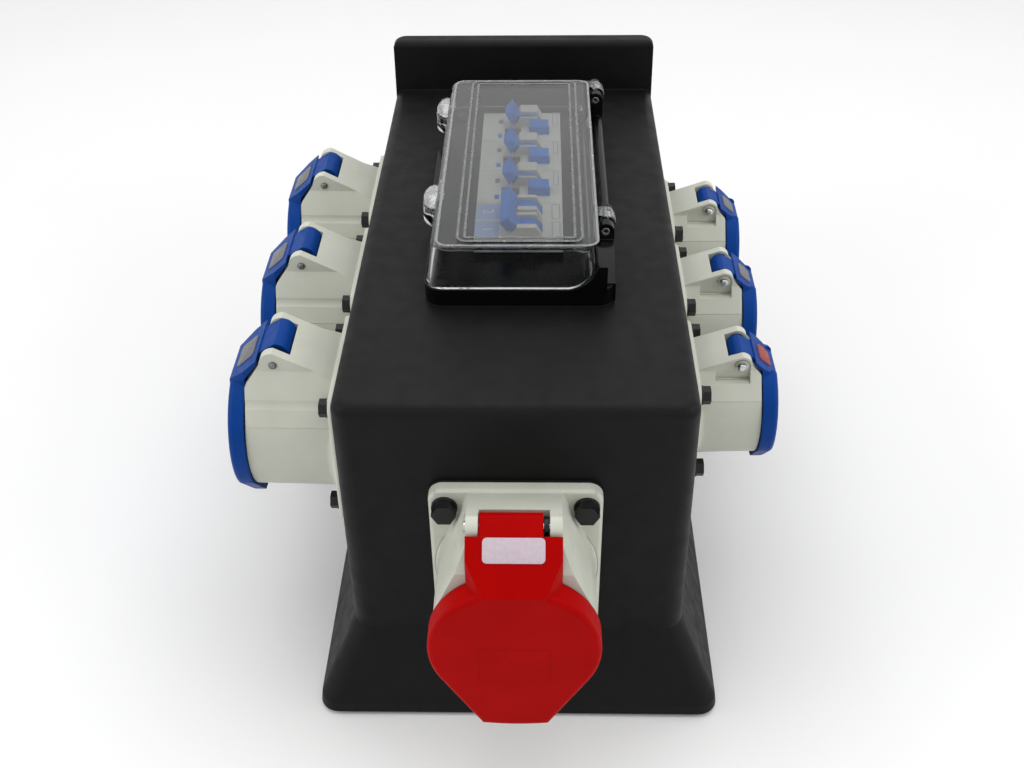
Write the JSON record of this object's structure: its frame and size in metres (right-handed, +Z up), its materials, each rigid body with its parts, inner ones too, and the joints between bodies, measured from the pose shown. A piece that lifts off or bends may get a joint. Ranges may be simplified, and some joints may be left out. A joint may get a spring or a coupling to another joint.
{
  "type": "power distribution box",
  "caption": "Portable rubber power distribution box with a flared foot, lidded round sockets on its sides and front, an inlet behind, and breakers under a hinged clear cover.",
  "frame": {"origin": "middle of the base plate's underside, on the floor", "axes": "+Z up; the five-pole front socket faces -Y; +X is to the right as seen from the front"},
  "size_m": [0.2724, 0.4442, 0.222],
  "materials": {
    "rubber_black": "matt moulded rubber",
    "plate_black": "matt sheet",
    "screw_steel": "plated",
    "frame_black": "glossy moulding",
    "gasket_black": "matt",
    "clear_cover": "clear polycarbonate",
    "pin_steel": "plated",
    "spring_black": "blackened wire",
    "housing_grey": "satin moulding",
    "lid_blue": "satin moulding",
    "lid_red": "satin moulding",
    "seal_rubber": "matt",
    "carrier_plastic": "matt moulding",
    "brass": "machined",
    "bolt_black": "blackened",
    "breaker_white": "satin moulding",
    "breaker_blue": "satin moulding",
    "rail_steel": "zinc plated sheet",
    "insulator_red": "matt moulding"
  },
  "bodies": {
    "box": {"enclosure": "rubber_black", "base_plate": "plate_black", "base_screws": "screw_steel", "window_screws": "screw_steel", "window_frame": "frame_black", "window_gasket": "gasket_black", "flange_gaskets": "gasket_black", "window_hinge_pins": "pin_steel", "lid_pins": "pin_steel", "lid_springs": "spring_black", "left_socket_1_housing": "housing_grey", "left_socket_2_housing": "housing_grey", "left_socket_3_housing": "housing_grey", "right_socket_1_housing": "housing_grey", "right_socket_2_housing": "housing_grey", "right_socket_3_housing": "housing_grey", "front_socket_housing": "housing_grey", "left_socket_barrels": "housing_grey", "right_socket_barrels": "housing_grey", "front_socket_barrel": "housing_grey", "inlet_flange": "housing_grey", "inlet_shroud": "lid_red", "left_contact_carriers": "carrier_plastic", "right_contact_carriers": "carrier_plastic", "front_contact_carrier": "carrier_plastic", "carrier_rings": "carrier_plastic", "contact_sleeves": "brass", "inlet_pins": "brass", "neutral_bar": "brass", "earth_bar": "brass", "flange_bolts": "bolt_black", "rcbo_case_1": "breaker_white", "rcbo_case_2": "breaker_white", "rcbo_case_3": "breaker_white", "mcb_case": "breaker_white", "din_rail": "rail_steel", "rail_brackets": "rail_steel", "bar_insulators": "insulator_red"},
    "left_socket_1_flap": {"left_socket_1_lid": "lid_blue", "left_socket_1_seal": "seal_rubber"},
    "left_socket_2_flap": {"left_socket_2_lid": "lid_blue", "left_socket_2_seal": "seal_rubber"},
    "left_socket_3_flap": {"left_socket_3_lid": "lid_blue", "left_socket_3_seal": "seal_rubber"},
    "right_socket_1_flap": {"right_socket_1_lid": "lid_blue", "right_socket_1_seal": "seal_rubber"},
    "right_socket_2_flap": {"right_socket_2_lid": "lid_blue", "right_socket_2_seal": "seal_rubber"},
    "right_socket_3_flap": {"right_socket_3_lid": "lid_blue", "right_socket_3_seal": "seal_rubber"},
    "front_socket_flap": {"front_socket_lid": "lid_red", "front_socket_seal": "seal_rubber"},
    "cover": {"window_cover": "clear_cover"},
    "mcb_toggle": {"mcb_lever": "breaker_blue"},
    "rcbo_toggle_1": {"rcbo_lever_1": "breaker_blue"},
    "tester_1": {"test_button_1": "breaker_blue"},
    "rcbo_toggle_2": {"rcbo_lever_2": "breaker_blue"},
    "tester_2": {"test_button_2": "breaker_blue"},
    "rcbo_toggle_3": {"rcbo_lever_3": "breaker_blue"},
    "tester_3": {"test_button_3": "breaker_blue"}
  },
  "joints": [
    {"name": "left_socket_1_lid_hinge", "type": "hinge", "parent": "box", "child": "left_socket_1_flap", "pos_m": [-0.11743, -0.096, 0.17224], "axis": [0, 1, 0], "range_deg": [0, 105], "stiffness_Nm_per_rad": 0.08, "springref_deg": -57.3},
    {"name": "left_socket_2_lid_hinge", "type": "hinge", "parent": "box", "child": "left_socket_2_flap", "pos_m": [-0.11743, -0.009, 0.17224], "axis": [0, 1, 0], "range_deg": [0, 105], "stiffness_Nm_per_rad": 0.08, "springref_deg": -57.3},
    {"name": "left_socket_3_lid_hinge", "type": "hinge", "parent": "box", "child": "left_socket_3_flap", "pos_m": [-0.11743, 0.078, 0.17224], "axis": [0, 1, 0], "range_deg": [0, 105], "stiffness_Nm_per_rad": 0.08, "springref_deg": -57.3},
    {"name": "right_socket_1_lid_hinge", "type": "hinge", "parent": "box", "child": "right_socket_1_flap", "pos_m": [0.111, -0.082, 0.15836], "axis": [0, -1, 0], "range_deg": [0, 105], "stiffness_Nm_per_rad": 0.05, "springref_deg": -57.3},
    {"name": "right_socket_2_lid_hinge", "type": "hinge", "parent": "box", "child": "right_socket_2_flap", "pos_m": [0.111, -0.007, 0.15836], "axis": [0, -1, 0], "range_deg": [0, 105], "stiffness_Nm_per_rad": 0.05, "springref_deg": -57.3},
    {"name": "right_socket_3_lid_hinge", "type": "hinge", "parent": "box", "child": "right_socket_3_flap", "pos_m": [0.111, 0.068, 0.15836], "axis": [0, -1, 0], "range_deg": [0, 105], "stiffness_Nm_per_rad": 0.05, "springref_deg": -57.3},
    {"name": "front_socket_lid_hinge", "type": "hinge", "parent": "box", "child": "front_socket_flap", "pos_m": [0, -0.20048, 0.15191], "axis": [-1, 0, 0], "range_deg": [0, 105], "stiffness_Nm_per_rad": 0.08, "springref_deg": -57.3},
    {"name": "cover_hinge", "type": "hinge", "parent": "box", "child": "cover", "pos_m": [0.043, 0.0075, 0.2145], "axis": [0, 1, 0], "range_deg": [0, 110]},
    {"name": "mcb_lever_pivot", "type": "hinge", "parent": "box", "child": "mcb_toggle", "pos_m": [0.004, -0.0331, 0.1975], "axis": [0, 1, 0], "range_deg": [0, 60]},
    {"name": "rcbo_lever_1_pivot", "type": "hinge", "parent": "box", "child": "rcbo_toggle_1", "pos_m": [0.004, 0.01065, 0.1975], "axis": [0, 1, 0], "range_deg": [0, 60]},
    {"name": "test_button_1_press", "type": "slide", "parent": "box", "child": "tester_1", "axis": [0, 0, -1], "range_m": [0, 0.0016], "stiffness_N_per_m": 500, "springref_m": -0.002},
    {"name": "rcbo_lever_2_pivot", "type": "hinge", "parent": "box", "child": "rcbo_toggle_2", "pos_m": [0.004, 0.04565, 0.1975], "axis": [0, 1, 0], "range_deg": [0, 60]},
    {"name": "test_button_2_press", "type": "slide", "parent": "box", "child": "tester_2", "axis": [0, 0, -1], "range_m": [0, 0.0016], "stiffness_N_per_m": 500, "springref_m": -0.002},
    {"name": "rcbo_lever_3_pivot", "type": "hinge", "parent": "box", "child": "rcbo_toggle_3", "pos_m": [0.004, 0.08065, 0.1975], "axis": [0, 1, 0], "range_deg": [0, 60]},
    {"name": "test_button_3_press", "type": "slide", "parent": "box", "child": "tester_3", "axis": [0, 0, -1], "range_m": [0, 0.0016], "stiffness_N_per_m": 500, "springref_m": -0.002}
  ]
}
